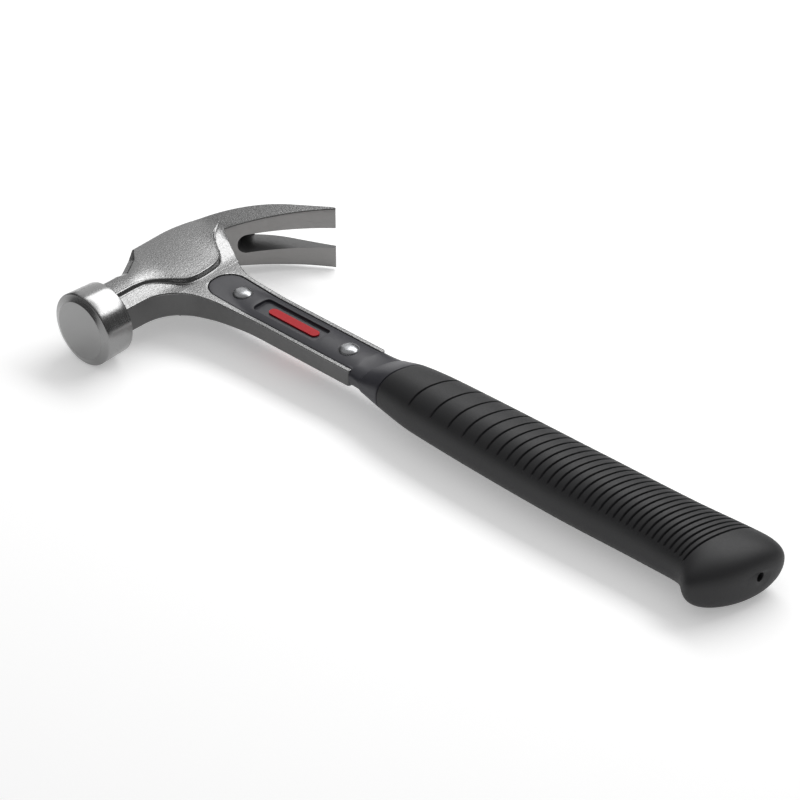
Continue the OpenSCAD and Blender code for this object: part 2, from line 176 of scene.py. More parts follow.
def surface(name, colours, metallic, roughness, grain, depth, cloud=18, stretch=(1, 1, 1)):
    """Principled surface whose colour drifts in soft clouds, with a fine grain in roughness and height.

    colours are two hex values, roughness is a low and high value, grain and cloud are sizes and
    depth a height in millimetres, and stretch draws the grain out along the axes.
    """
    material = bpy.data.materials.new(name)
    material.use_nodes = True
    tree = material.node_tree
    shader = tree.nodes["Principled BSDF"]
    shader.inputs["Metallic"].default_value = metallic
    place = add(tree, "ShaderNodeTexCoord").outputs["Object"]
    drawn = add(tree, "ShaderNodeMapping", {"Vector": place, "Scale": stretch}).outputs["Vector"]
    specks = {"Vector": drawn, "Scale": per_mm(grain), "Detail": 3}
    fine = add(tree, "ShaderNodeTexNoise", specks).outputs["Fac"]
    clouds = {"Vector": place, "Scale": per_mm(cloud), "Detail": 4}
    soft = add(tree, "ShaderNodeTexNoise", clouds).outputs["Fac"]
    # The colour sockets of a Mix node come after its number and vector sockets
    tint = {0: soft, 6: linear(colours[0]), 7: linear(colours[1])}
    blend = add(tree, "ShaderNodeMix", tint, data_type="RGBA")
    tree.links.new(blend.outputs[2], shader.inputs["Base Color"])
    spread = {"Value": fine, "From Min": NOISE_LOW, "From Max": NOISE_HIGH,
              "To Min": roughness[0], "To Max": roughness[1]}
    rough = add(tree, "ShaderNodeMapRange", spread)
    tree.links.new(rough.outputs["Result"], shader.inputs["Roughness"])
    bump = add(tree, "ShaderNodeBump", {"Height": fine, "Strength": 1, "Distance": depth * MM})
    tree.links.new(bump.outputs["Normal"], shader.inputs["Normal"])
    return material


# Real grains of 0.1 to 0.3 mm would not show in the render, so most are drawn two to five times as coarse

# Carbon steel, forged and bead blasted under clear lacquer: satin grey with a lively fine sparkle
BLASTED = surface("blasted_forged_steel", ("#767676", "#828282"), 1, (0.2, 0.32), 0.9, 0.065)
# The same steel where the flash was trimmed on a belt: smoother, with faint lines along the cut
TRIMMED = surface("belt_trimmed_steel", ("#7c7b7a", "#888786"), 1, (0.28, 0.4), 0.6, 0.015,
                  stretch=(0.2, 0.2, 1))
# The same steel as it left the dies, in the nail slot and on the side walls: dark and dull. Its dark tone is
# partly painted shade, on the walls that face away from the light and as a dark line along the claws' lower
# edge
SCALE_AND_SHADE = surface("forging_scale_and_painted_shade", ("#5c5c5c", "#686868"), 0.5, (0.42, 0.55), 0.6, 0.02)
# The bell, turned and polished: clear reflections, softened by turning lines round its axis
POLISHED = surface("polished_turned_steel", ("#868686", "#8e8e8e"), 1, (0.2, 0.28), 0.4, 0.001,
                   stretch=(0.1, 1, 0.1))
# The striking face, lapped flat: an even satin
LAPPED = surface("lapped_steel", ("#8e8e8e", "#969696"), 1, (0.3, 0.36), 0.4, 0.002)
# Places of the finishes on the steel piece: blasted, trimmed, polished, lapped, and scaled with painted shade
FORGED, CUT, TURNED, FACE, RAW_AND_SHADE = range(5)
# Polyamide with glass fibre, moulded in a finely eroded tool: dark grey with a low satin sheen
PANEL = surface("satin_polyamide", ("#2a2a30", "#323239"), 0, (0.36, 0.46), 0.35, 0.008)
# Thermoplastic rubber, moulded: nearly black, with a broad soft sheen where it faces the light
RUBBER = surface("moulded_rubber", ("#1b1b1d", "#222224"), 0, (0.5, 0.62), 0.4, 0.01)
# Nickel and chromium plate on the rivets: bright and slightly uneven
CHROME = surface("chrome_plate", ("#8e8f91", "#9c9d9f"), 1, (0.22, 0.32), 1.5, 0.02)
# ABS, moulded in red with a dull finish: an even clear red with little gloss
RED_GLOSS = 0.2
RED = surface("red_abs", ("#b5121e", "#c01a26"), 0, (0.4, 0.5), 0.4, 0.003)
RED.node_tree.nodes["Principled BSDF"].inputs["Specular IOR Level"].default_value = RED_GLOSS


# Handle sections, shared by the collar and the grip

SHANK_W = 22.4
SHANK_T = 7.7
PANEL_TOP = 4.95
RIM_END = 108
RIM_GAP = 0.1
COLLAR_X = 117.5
COLLAR_W = 25.6
COLLAR_T = 12.6
COLLAR_LIP = 1
COLLAR_LIP_L = 1
GRIP_X = 128.7
GRIP_END = 317
BUTT_L = 18
BUTT_X = GRIP_END - BUTT_L
THUMB_X = 149.7
WAIST_X = BUTT_X - 28
PALM_X = (THUMB_X + BUTT_X) / 2
# Slope by which the sections lean along the handle
RAKE = math.tan(math.radians(11.3))
# Superellipse powers of the grip's ovals and of the blunter section beside the rims
OVAL_POWER = 2.2
BLOCK_POWER = 3
OVAL_EGG = 0.1
# Powers by which the butt closes at its sides, top and underside
DOME_SIDE = 3.2
DOME_TOP = 2.7
DOME_UNDER = 4.5
# The finger stop swells the poll side by a height and the underside by a share
STOP_H = 7.5
STOP_L = 8
STOP_X = GRIP_END - 9
STOP_UNDER = 0.18
# Where collar and rubber meet: length and depth of the rounded edges, the gap, and the inset of the ends
SEAM_L = 0.5
SEAM_D = 0.8
SEAM_GAP = 0.3
SEAM_INSET = 3
# Stations (x, size) of the width, the thickness and the sideways lean
WIDTHS = [(COLLAR_X, COLLAR_W), (GRIP_X, 28), (THUMB_X, 31.8), (PALM_X, 35.8), (WAIST_X, 36),
          (BUTT_X, 39), (GRIP_END, 39)]
THICKNESSES = [(COLLAR_X, COLLAR_T), (GRIP_X, 19.4), (THUMB_X, 22.8), (PALM_X, 24.6), (WAIST_X, 24.6),
               (BUTT_X, 23), (GRIP_END, 23)]
LEANS = [(COLLAR_X, 0.6), (GRIP_X, 0.6), (THUMB_X, -0.4), (PALM_X, -1.6), (WAIST_X, -1.1),
         (BUTT_X, -0.3), (GRIP_END, -0.3)]


def dome(x, power):
    """Share of the full section that is left at x on the rounded butt: a superellipse quarter."""
    t = np.clip((x - BUTT_X) / BUTT_L, 0, 1)
    return (1 - t**power) ** (1 / power)


def section(x, angle, sunk=0, inset=0):
    """Raked superellipse at station x: squarer beside the steel rims, swollen at the finger stop.

    Width, thickness and sideways lean follow their stations, the claw side is a little thinner, a low lip
    stands at the collar's front, sunk lowers the top and bottom, and inset draws the whole section in.
    """
    flare = np.clip((x - RIM_END) / (COLLAR_X - RIM_END), 0, 1)
    power = 2 / mix(BLOCK_POWER, OVAL_POWER, flare)
    c = signed_power(np.cos(angle), power)
    s = signed_power(np.sin(angle), power)
    width = np.where(x < COLLAR_X, mix(SHANK_W, COLLAR_W, flare**1.5), through(x, WIDTHS))
    thick = np.where(x < COLLAR_X, mix(2 * PANEL_TOP, COLLAR_T, flare**2), through(x, THICKNESSES))
    thick = thick - 2 * COLLAR_LIP * flare * (1 - rise(x, COLLAR_X - COLLAR_LIP_L, COLLAR_LIP_L))
    stop = np.exp(-((x - STOP_X) / STOP_L) ** 2)
    half = width / 2 - inset + np.where(c < 0, STOP_H * stop, 0)
    thick = thick * (1 + np.where(s < 0, STOP_UNDER * stop, 0))
    y = (flare * through(x, LEANS) + half * c) * dome(x, DOME_SIDE)
    shut = np.where(s < 0, dome(x, DOME_UNDER), dome(x, DOME_TOP))
    z = ((thick / 2 - inset) * s * (1 - OVAL_EGG * flare * c) - np.sign(s) * sunk) * shut
    return np.stack([x + RAKE * flare * y, y, z], -1)


# Rubber grip

GROOVE_FIRST = 19.7
GROOVE_COUNT = 34
GROOVE_W = 0.4
GROOVE_DEPTH = 1.3
# Share of the half thickness at which a groove begins, and the share over which it deepens
GROOVE_RISE = (0.45, 0.16)
# The spacing of the grooves, and the number of them over which the first extra spacing dies away
PITCH_FIRST = 12.8
PITCH_EVEN = 4.6
PITCH_LAST = 2.75
PITCH_FALL = 2.8
# The butt's rows stop a little short of its pole, where the hole is
BUTT_TURN = 0.466 * np.pi
HOLE_R = 2
HOLE_L = 12
# Depths of the rings of points down the hole's wall
HOLE_RINGS = (0.2, 4, HOLE_L)
# The rows between the butt's last row and the hole start at this share of the way, before it is eased
CLOSE_FROM = 0.15


def groove_stations():
    """Places of the grooves: the spacing falls fast at first and then slowly."""
    i = np.arange(GROOVE_COUNT - 1)
    even = mix(PITCH_EVEN, PITCH_LAST, i / (GROOVE_COUNT - 1))
    pitch = (PITCH_FIRST - PITCH_EVEN) * np.exp(-i / PITCH_FALL) + even
    return GRIP_X + GROOVE_FIRST + np.concatenate([[0], np.cumsum(pitch)])


def make_grip():
    """Rubber grip: raked ovals along the handle, with grooves sunk into the top and bottom.

    A groove is a flat-bottomed bell curve along the handle, faded out on the flanks. The last rows close
    on the round blind hole in the butt and follow its wall to the bottom.
    """
    cols = 128
    angle = np.linspace(0, 2 * np.pi, cols, endpoint=False)[None, :]
    across_groove = GROOVE_W * np.array([-1.9, -1.4, -1.15, -0.95, -0.7, 0, 0.7, 0.95, 1.15, 1.4, 1.9])
    near = (groove_stations()[:, None] + across_groove).ravel()
    straight = np.concatenate([near, np.linspace(GRIP_X + SEAM_L, BUTT_X, 150)])
    straight = np.unique(straight[straight < BUTT_X].round(2))
    round_end = BUTT_X + BUTT_L * np.sin(np.linspace(0, BUTT_TURN, 60))
    x = np.concatenate([straight, round_end])[:, None]
    away = x - groove_stations()[None, :]
    cut = np.exp(-(away / GROOVE_W) ** 4).max(axis=1, keepdims=True)
    height = np.abs(np.sin(angle)) ** (2 / OVAL_POWER)
    sunk = GROOVE_DEPTH * cut * rise(height, *GROOVE_RISE)
    body = section(x, angle, sunk)
    lip = np.linspace(0, np.pi / 2, 6, endpoint=False)[:, None]
    lip_x = GRIP_X + SEAM_L * (1 - np.sin(lip)) + 0 * angle
    front = section(lip_x, angle, inset=SEAM_D * (1 - np.cos(lip)))[::-1]
    inside = section(GRIP_X + 2 * SEAM_L + 0 * angle, angle, inset=SEAM_INSET)
    last = body[-1]
    ring = np.stack([0 * angle[0] + GRIP_END, HOLE_R * np.cos(angle[0]), HOLE_R * np.sin(angle[0])], -1)
    close = np.stack([mix(last, ring, t) for t in smooth(np.linspace(CLOSE_FROM, 1, 8))])
    wall = np.stack([ring + np.array([-d, 0, 0]) for d in HOLE_RINGS])
    rows = np.concatenate([inside, front, body, close, wall])
    faces = grid_faces(len(rows), cols, True)
    add_piece("grip_rubber", rows.reshape(-1, 3), faces, [RUBBER], ["grip"], sharp=50)


make_grip()


# Scales: panel, recess and half of the collar

CHANNEL_TOP = 17.5
CHANNEL_HALF = 9
CHANNEL_FLARE = 1
CHANNEL_BLEND = 52
PANEL_SINK = 0.3
PANEL_CROWN = 30
PANEL_GAP = 0.12
PANEL_EDGE = 0.5
# The panel runs on under the collar, and dives over a length that starts at the rims' end
PANEL_UNDER = 4
PANEL_DIVE = 0.8
PANEL_DIVES = (RIM_END, 3)
# Width over which the crown and the flat beside the rims are blended
PANEL_SOFT = 0.2
WEB = 1.5
RECESS_X = 63.65
# The recess: length, width and corner radius, height of its floor, rounded brim, draft and foot of its
# wall, and inset of the last ring of points on its floor
RECESS = (37.6, 10.2, 2)
RECESS_FLOOR = 3.2
RECESS_BRIM = 0.3
RECESS_DRAFT = 0.05
RECESS_FOOT = 0.15
RECESS_INSET = 1.6
# Thickness at the head, and the start and length of its fall to the shank's
LEDGE_T = 11.8
RIM_FALLS = (10, 44)


def rim_z(x):
    """Half thickness of the steel rims: it falls from the head's ledge to the shank in a soft S."""
    return mix(LEDGE_T, SHANK_T, rise(x, *RIM_FALLS)) / 2


def poll_flare(x):
    """Extra width of the channels on the poll side, which falls to nothing where the shank is straight."""
    x = np.maximum(x, CHANNEL_TOP + CHANNEL_HALF)
    return CHANNEL_FLARE * np.clip((CHANNEL_BLEND - x) / (CHANNEL_BLEND - CHANNEL_TOP), 0, 1)


def rounded_box(x0, x1, half, r0, r1, inset):
    """Closed outline of a box in plan, with corner radius r0 at its x0 end and r1 at its x1 end."""
    quarter = np.linspace(0, np.pi / 2, 17)
    side = np.linspace(0, 1, 70)[1:-1]
    least_r = 0.02
    r0 = max(r0 - inset, least_r)
    r1 = max(r1 - inset, least_r)
    x0 = x0 + inset
    x1 = x1 - inset
    half = half - inset
    corners = []
    for cx, cy, r, turn in ((x0 + r0, -half + r0, r0, np.pi), (x1 - r1, -half + r1, r1, 1.5 * np.pi),
                            (x1 - r1, half - r1, r1, 0), (x0 + r0, half - r0, r0, 0.5 * np.pi)):
        corners.append(np.stack([cx + r * np.cos(turn + quarter), cy + r * np.sin(turn + quarter)], -1))
    outline = []
    for k in range(4):
        outline.append(corners[k])
        start = corners[k][-1]
        end = corners[(k + 1) % 4][0]
        outline.append(mix(start[None, :], end[None, :], side[:, None]))
    return np.concatenate(outline)


def lifted(outline, z):
    """Outline points with their height."""
    return np.concatenate([outline, np.broadcast_to(z, len(outline))[:, None]], -1)


def make_scale(name, side, node):
    """One scale: rings run up the panel's edge, over its crowned face and down into the recess.

    The crown is an arc across the handle, and its end dives under the collar. The collar is the half
    of the handle's sections on this side, closed along the middle plane.
    """
    end = RIM_END + PANEL_UNDER
    length, width, corner = RECESS

    def outer(inset):
        half = CHANNEL_HALF - PANEL_GAP
        outline = rounded_box(CHANNEL_TOP + PANEL_GAP, end, half, half, PANEL_EDGE, inset)
        widened = outline[:, 1] - np.where(outline[:, 1] < 0, poll_flare(outline[:, 0]), 0)
        return np.stack([outline[:, 0], widened], -1)

    def inner(inset):
        return rounded_box(RECESS_X - length / 2, RECESS_X + length / 2, width / 2, corner, corner, inset)

    def top(outline):
        crown = PANEL_TOP - PANEL_CROWN + np.sqrt(PANEL_CROWN**2 - outline[:, 1] ** 2)
        dive = PANEL_DIVE * rise(outline[:, 0], *PANEL_DIVES)
        return soft_max(rim_z(outline[:, 0]) - PANEL_SINK, crown, PANEL_SOFT) - dive

    rings = [lifted(outer(0), WEB)]
    for turn in np.linspace(0, np.pi / 2, 7):
        line = outer(PANEL_EDGE * (1 - np.cos(turn)))
        rings.append(lifted(line, top(line) - PANEL_EDGE * (1 - np.sin(turn))))
    for t in np.linspace(0, 1, 12)[1:]:
        line = mix(outer(PANEL_EDGE), inner(-RECESS_BRIM), t)
        rings.append(lifted(line, top(line)))
    for turn in np.linspace(0, np.pi / 2, 5)[1:]:
        line = inner(-RECESS_BRIM * (1 - np.sin(turn)))
        rings.append(lifted(line, top(line) - RECESS_BRIM * (1 - np.cos(turn))))
    rings.append(lifted(inner(RECESS_DRAFT), RECESS_FLOOR + RECESS_FOOT))
    rings.append(lifted(inner(RECESS_DRAFT + RECESS_FOOT), RECESS_FLOOR))
    rings.append(lifted(inner(RECESS_INSET), RECESS_FLOOR))
    rows = np.stack(rings)
    faces = grid_faces(rows.shape[0], rows.shape[1], True)
    points = rows.reshape(-1, 3)

    angle = np.linspace(0, np.pi, 73)[None, :]
    flare = np.linspace(RIM_END + RIM_GAP, COLLAR_X, 26, endpoint=False)
    collar_end = GRIP_X - SEAM_GAP
    swell = np.linspace(COLLAR_X, collar_end - SEAM_L, 28)
    x = np.concatenate([flare, swell])[:, None]
    body = section(x, angle)
    lip = np.linspace(0, np.pi / 2, 6)[1:, None]
    lip_x = collar_end - SEAM_L * (1 - np.sin(lip)) + 0 * angle
    back = section(lip_x, angle, inset=SEAM_D * (1 - np.cos(lip)))
    inside = section(collar_end + 0 * angle, angle, inset=SEAM_INSET)
    shell = np.concatenate([body, back, inside])
    collar = grid_faces(shell.shape[0], shell.shape[1], True, len(points))
    points = np.concatenate([points, shell.reshape(-1, 3)])
    points = points * np.array([1, 1, side])
    add_piece(name, points, np.concatenate([faces, collar]), [PANEL], [node], sharp=28)


make_scale("scale_upper_moulding", 1, "scale_upper")
make_scale("scale_lower_moulding", -1, "scale_lower")


# Forged head, claws and shank

NECK_TOP = -9.3
NECK_BOTTOM = 9
NECK_END = -46
# Centre and radius of the throat's arc
THROAT = (29, -34.4, 20)
CROWN_C = np.array([38.0, 5.0])
CROWN_R = 59.5
SHOULDER_Y = -13.6
SHOULDER_TOP = -20.6
# Stations (y, x) of the outline from the neck up to the shoulder
NECK_SLOPE = [(NECK_END, NECK_TOP), (-35, NECK_TOP), (-31, -9.8), (-28, -11.4), (SHOULDER_Y, SHOULDER_TOP),
              (-13, -21)]
CLAW_TIP = np.array([25.2, 66.4])
CLAW_TIP_T = 1.4
TIP_CORNER = 1.2
UNDER_R = 110
CLAW_ROOT = np.array([-4.2, 24.5])
# The underside shows from just past its root, where the ledge's edge meets it
ROOT_Y = 25.6
CHEEK_Z = 9.75
CLAW_Z = 15.3
FLARE_Y = 23.5
FLARE_SOFT = 3
# The head ends and the shank begins here
CUT_X = 15.5
# Stations (x, half width) of the shank on the claws' side and on the poll's side
CLAW_EDGE = [(12.5, 17.2), (CUT_X, 15.62), (18.4, 14.1), (21, 12.95), (24, 11.95), (27, 11.4), (30.4, 11.2),
             (36, 11.2)]
THROAT_END = 22.82
POLL_EDGE = [(THROAT_END, 15.38), (26.7, 14.2), (31.3, 13.1), (36.8, 12.4), (43.9, 11.75), (50, 11.35),
             (56, 11.2), (62, 11.2)]
# Stations (x, height) of the ledge beside the neck and below the claws
NECK_LEDGE = [(-10, 8.9), (-4, 8.2), (0, 7.6), (4, 6.9), (9, 6.15), (12, 5.92), (CUT_X, rim_z(CUT_X)),
              (18, rim_z(18))]
CLAW_LEDGE = [(-11, 9.75), (-7.8, 9.7), (-3, 9.2), (3, 7.75), (9, 6.45), (12, 6.02), (CUT_X, rim_z(CUT_X)),
              (18, rim_z(18))]
# Start and length, along Y, of the change from one ledge to the other and of the drop's fading at the claws
LEDGE_SWAP = (-10, 16)
LEDGE_FADE = (21, 10)
# How far the cheek falls to its step, near the bell and beside the handle, and where that grows and ends
NECK_FALL = 0.5
CHEEK_FALL = 1.5
FALL_GROWS = (-34, 18)
FALL_ENDS = (8, 11)
# Half width of the step, on the cheek and at the claws' root, and the most of a narrow ledge that it takes
STEP_HALF = 1.1
STEP_HALF_ROOT = 0.8
STEP_NARROWS = (17, 8)
STEP_SHARE = 0.4
# Width of the crown's chamfer: stations (y, width) on the head, and at the claws' root and tips
CROWN_CHAMFER = [(-33, 0.8), (-28.5, 3.6), (-19, 3.6), (-13, 0.7)]
ROOT_CHAMFER = 0.7
TIP_CHAMFER = 0.35
CHAMFER_NARROWS = (26, 20)
CHAMFER_SLOPE = 0.58
CHAMFER_SOFT = 0.12
# Radius of the lower edge, on the claws, nearly sharp where the shank goes on, and as a share of thin steel
LOW_R = 0.7
CLAW_LOW_R = 0.45
CUT_R = 0.02
LOW_SHARE = 0.3
# The crown's points begin to run ahead of the lower edge's here, and the cheek's edge does so by a share
LAG_Y = 6
CHEEK_LAG = 0.6
# Share of the claw's depth at which the faded step runs out, and the length in which it gets there
CLAW_STEP = 0.12
CLAW_STEP_L = 25
# Stations (y, x) of the cheek's edge
CHEEK_EDGE = [(-46, 1), (-28.2, 1), (-22.4, 2.9), (-17.5, 6.8), (-12.6, 11.7), (-7.7, 13.2), (-1.8, 13.2),
              (5, 12.2), (9.9, 9.8), (13.8, 4.9), (18.7, -3), (25.5, -7.8), (31, -10.5)]
SLOT_Y = 35
SLOT_HALF = 4.6
SLOT_SPREAD = 0.5
SLOT_SPREAD_L = 30
SLOT_DEPTH = 11
# Depth at which the slot's walls would meet
SLOT_CLOSE = 23.5

tip_ray = CLAW_TIP - CROWN_C
tip_bearing = math.atan2(tip_ray[1], tip_ray[0]) + math.acos(CROWN_R / np.linalg.norm(tip_ray))
claw_tangent = CROWN_C + CROWN_R * np.array([math.cos(tip_bearing), math.sin(tip_bearing)])
claw_run = unit(CLAW_TIP - claw_tangent)
claw_out = np.array([-claw_run[1], claw_run[0]])
tip_under = CLAW_TIP - CLAW_TIP_T * claw_out
under_chord = tip_under - CLAW_ROOT
under_across = np.array([-under_chord[1], under_chord[0]]) / np.linalg.norm(under_chord)
under_rise = math.sqrt(UNDER_R**2 - (under_chord @ under_chord) / 4)
under_centre = (CLAW_ROOT + tip_under) / 2 - under_across * under_rise


def under_x(y):
    """The claws' underside: an arc from the root to the tips."""
    return under_centre[0] - np.sqrt(UNDER_R**2 - (y - under_centre[1]) ** 2)


def crown_x(y):
    """The head's outline away from the handle: neck, sloping shoulder, crown and the claws' outer arc."""
    arc = CROWN_C[0] - np.sqrt(np.maximum(CROWN_R**2 - (y - CROWN_C[1]) ** 2, 0))
    line = claw_tangent[0] + (y - claw_tangent[1]) * claw_run[0] / claw_run[1]
    brow = np.interp(y, (SHOULDER_Y, CROWN_C[1]), (SHOULDER_TOP, CROWN_C[0] - CROWN_R))
    crown = np.where(y < CROWN_C[1], brow, arc)
    crown = np.where(y > claw_tangent[1], line, crown)
    return np.where(y < SHOULDER_Y, through(y, NECK_SLOPE), crown)


def side_z(y):
    """Half width of the head seen from the crown: level at the cheeks, flaring to the claws' round tips.

    A parabola eases the level into the straight flare, and a quarter circle rounds each tip.
    """
    t = np.maximum(y - FLARE_Y + FLARE_SOFT, 0)
    ramp = np.where(t < 2 * FLARE_SOFT, t**2 / (4 * FLARE_SOFT), t - FLARE_SOFT)
    to_tip = np.clip((y - CLAW_TIP[1]) / TIP_CORNER + 1, 0, 1)
    corner = TIP_CORNER * (1 - np.sqrt(1 - to_tip**2))
    return CHEEK_Z + (CLAW_Z - CHEEK_Z) / (CLAW_TIP[1] - FLARE_Y) * ramp - corner


def ledge_z(plan):
    """Height of the ledge: a falling curve beside the neck blends into one below the claws.

    Its drop is measured from the head's side, so that it flares with the claws, and fades out on them.
    """
    x, y = plan.T
    height = mix(through(x, NECK_LEDGE), through(x, CLAW_LEDGE), rise(y, *LEDGE_SWAP))
    return side_z(y) - (CHEEK_Z - height) * (1 - rise(y, *LEDGE_FADE))


def head_stations():
    """Stations round the head: a point on the crown, one on the cheek's edge and one on the lower edge.

    The lower edge runs down the neck and round the throat, across the shank, up to the claws' root
    and along their underside. There the crown point lies square across the claw.
    """
    neck = np.linspace(NECK_END, THROAT[1], 22, endpoint=False)
    turn = np.linspace(np.pi, math.acos((CUT_X - THROAT[0]) / THROAT[2]), 28, endpoint=False)
    cut_from = THROAT[1] + math.sqrt(THROAT[2] ** 2 - (CUT_X - THROAT[0]) ** 2)
    cut = np.linspace(cut_from, CLAW_EDGE[1][1], 64, endpoint=False)
    root = np.array([under_x(ROOT_Y), ROOT_Y])
    t = np.linspace(0, 1, 26, endpoint=False)[:, None]
    under = np.linspace(root[1], tip_under[1], 120)
    low = np.concatenate([
        np.stack([0 * neck + NECK_BOTTOM, neck], -1),
        np.stack([THROAT[0] + THROAT[2] * np.cos(turn), THROAT[1] + THROAT[2] * np.sin(turn)], -1),
        np.stack([0 * cut + CUT_X, cut], -1),
        mix(np.array([[CUT_X, CLAW_EDGE[1][1]]]), root[None, :], t),
        np.stack([under_x(under), under], -1),
    ])
    claw = np.arange(len(low)) >= len(low) - len(under)
    out = unit(low - under_centre)
    near = low - CROWN_C
    along = np.einsum("ij,ij->i", near, out)
    reach = -along + np.sqrt(along**2 - np.einsum("ij,ij->i", near, near) + CROWN_R**2)
    arc = low + reach[:, None] * out
    flat = ((CLAW_TIP - low) @ claw_out) / (out @ claw_out)
    square = np.where((arc[:, 1] > claw_tangent[1])[:, None], low + flat[:, None] * out, arc)
    lag = square[claw][0, 1] - root[1]
    crown_y = low[:, 1] + lag * rise(low[:, 1], LAG_Y, ROOT_Y - LAG_Y)
    crown = np.where(claw[:, None], square, np.stack([crown_x(crown_y), crown_y], -1))
    cheek_y = mix(low[:, 1], crown_y, CHEEK_LAG)
    cheek = np.stack([through(cheek_y, CHEEK_EDGE), cheek_y], -1)
    share = np.linalg.norm(cheek[claw][0] - root) / np.linalg.norm(crown[claw][0] - root)
    fade = mix(share, CLAW_STEP, rise(low[:, 1], ROOT_Y, CLAW_STEP_L))[:, None]
    cheek = np.where(claw[:, None], mix(low, crown, fade), cheek)
    return crown, cheek, low, claw


def make_head():
    """Forged head and claws: at each station a profile runs from the middle of the crown over the cheek,
    down the step, across the ledge, round the lower edge and down to the middle plane or into the nail slot.

    The crown's edge is a chamfer, the cheek falls a little with the square of the way to its step, the step
    is a soft S, the lower edge a quarter circle, and the slot narrows with depth. The lower half is the
    mirror image, welded along the middle plane.
    """
    crown, cheek, low, claw = head_stations()
    y = low[:, 1]
    across = unit(cheek - crown)
    along = unit(low - cheek)
    thick = np.linalg.norm(low - crown, axis=1)
    centre_turn = math.asin((SLOT_Y - under_centre[1]) / UNDER_R)
    run = UNDER_R * (np.arcsin((y - under_centre[1]) / UNDER_R) - centre_turn)
    root = np.clip(1 + run / SLOT_HALF, 0, 1)
    root = np.where(claw, root, 0)
    spread = SLOT_SPREAD * np.clip((y - SLOT_Y) / SLOT_SPREAD_L, 0, 1)
    mouth = (SLOT_HALF + spread) * np.sqrt(1 - (1 - root) ** 2)
    depth = np.minimum(SLOT_DEPTH * root, thick)
    open_slot = (root >= 1) & (SLOT_DEPTH >= thick)
    floor = np.where(root > 0, mouth * (1 - depth / SLOT_CLOSE), 0)
    start = np.where(open_slot, floor, 0)

    claw_chamfer = mix(ROOT_CHAMFER, TIP_CHAMFER, rise(y, *CHAMFER_NARROWS))
    chamfer_w = np.where(claw, claw_chamfer, np.interp(y, *np.array(CROWN_CHAMFER).T))
    chamfer_d = CHAMFER_SLOPE * chamfer_w
    cheek_fall = mix(NECK_FALL, CHEEK_FALL, rise(y, *FALL_GROWS)) * (1 - rise(y, *FALL_ENDS))
    low_r = np.where(claw, CLAW_LOW_R, LOW_R)
    low_r = np.minimum(low_r, LOW_SHARE * thick)
    low_r = np.where(np.isclose(low[:, 0], CUT_X), CUT_R, low_r)
    step_half = mix(STEP_HALF, STEP_HALF_ROOT, rise(y, *STEP_NARROWS))
    step_half = np.minimum(step_half, STEP_SHARE * np.linalg.norm(low - cheek, axis=1))
    brow = cheek - across * step_half[:, None]
    foot = cheek + along * step_half[:, None]
    brink = low - along * low_r[:, None]

    columns = []
    finish = []

    def add_column(plan, z, index):
        columns.append(np.concatenate([plan, np.broadcast_to(z, len(plan))[:, None]], -1))
        finish.append(index)

    top = side_z(crown[:, 1]) - chamfer_d
    for t in np.linspace(0, 1, 6, endpoint=False):
        add_column(crown, mix(start, top, t), CUT)
    for t in (0, 0.3, 0.6, 0.8, 0.92, 1, 1.08, 1.2, 1.4):
        plan = crown + across * (chamfer_w * t)[:, None]
        add_column(plan, side_z(plan[:, 1]) - chamfer_d * soft_max(1 - t, 0, CHAMFER_SOFT), FORGED)
    past_chamfer = plan
    for t in np.linspace(0, 1, 16)[1:]:
        plan = mix(past_chamfer, brow, t)
        add_column(plan, side_z(plan[:, 1]) - cheek_fall * t**2, FORGED)
    foot_z = ledge_z(foot)
    for t in np.linspace(0, 1, 15)[1:]:
        plan = mix(brow, foot, t)
        add_column(plan, mix(side_z(plan[:, 1]) - cheek_fall, foot_z, smooth(smooth(t))), FORGED)
    for t in np.linspace(0, 1, 12)[1:]:
        plan = mix(foot, brink, t)
        add_column(plan, ledge_z(plan), FORGED)
    burr = len(columns)
    edge_z = ledge_z(brink)
    for turn in np.linspace(0, np.pi / 2, 6)[1:]:
        plan = low - along * (low_r * (1 - math.sin(turn)))[:, None]
        add_column(plan, edge_z - low_r * (1 - math.cos(turn)), FORGED)
    wall = len(columns)
    for t in np.linspace(0, 1, 7)[1:]:
        add_column(low, mix(edge_z - low_r, mouth, t), CUT)
    slot = len(columns)
    toward = unit(crown - low)
    for t in np.linspace(0, 1, 9)[1:]:
        plan = low + toward * (depth * t)[:, None]
        add_column(plan, mix(mouth, floor, t), RAW_AND_SHADE)
    add_column(np.where(open_slot[:, None], crown, low + toward * depth[:, None]), start, RAW_AND_SHADE)

    half = np.stack(columns, 1)
    rows, cols = half.shape[:2]
    # A face takes the finish of its second column; the poll side's wall and the claws' lower edge take the
    # dark raw steel as painted shade: shade on the wall, and a painted dark line along the claws' lower edge
    index = np.tile(np.array(finish), (rows, 1))
    index[y < 0, wall:slot] = RAW_AND_SHADE
    index[claw, burr:wall] = RAW_AND_SHADE
    index = index[1:, 1:].ravel()
    upper = grid_faces(rows, cols, False)
    lower = grid_faces(rows, cols, False, rows * cols)[:, ::-1]
    points = np.concatenate([half.reshape(-1, 3), (half * np.array([1, 1, -1])).reshape(-1, 3)])
    return points, np.concatenate([upper, lower]), np.concatenate([index, index])


# Corner of the rims' end in plan, edge of the rims, and lip of the channels
RIM_CORNER = 1
RIM_R = 0.45
CHANNEL_LIP = 0.3
# Length of the shank inside the head, and how soon and how far it is drawn in there
BURIED_L = 3
BURIED_STEP = 0.5
BURIED_IN = 0.3
BURIED_DOWN = 0.5
# Rows of faces from the middle plane up a side wall
WALL_FACES = 4


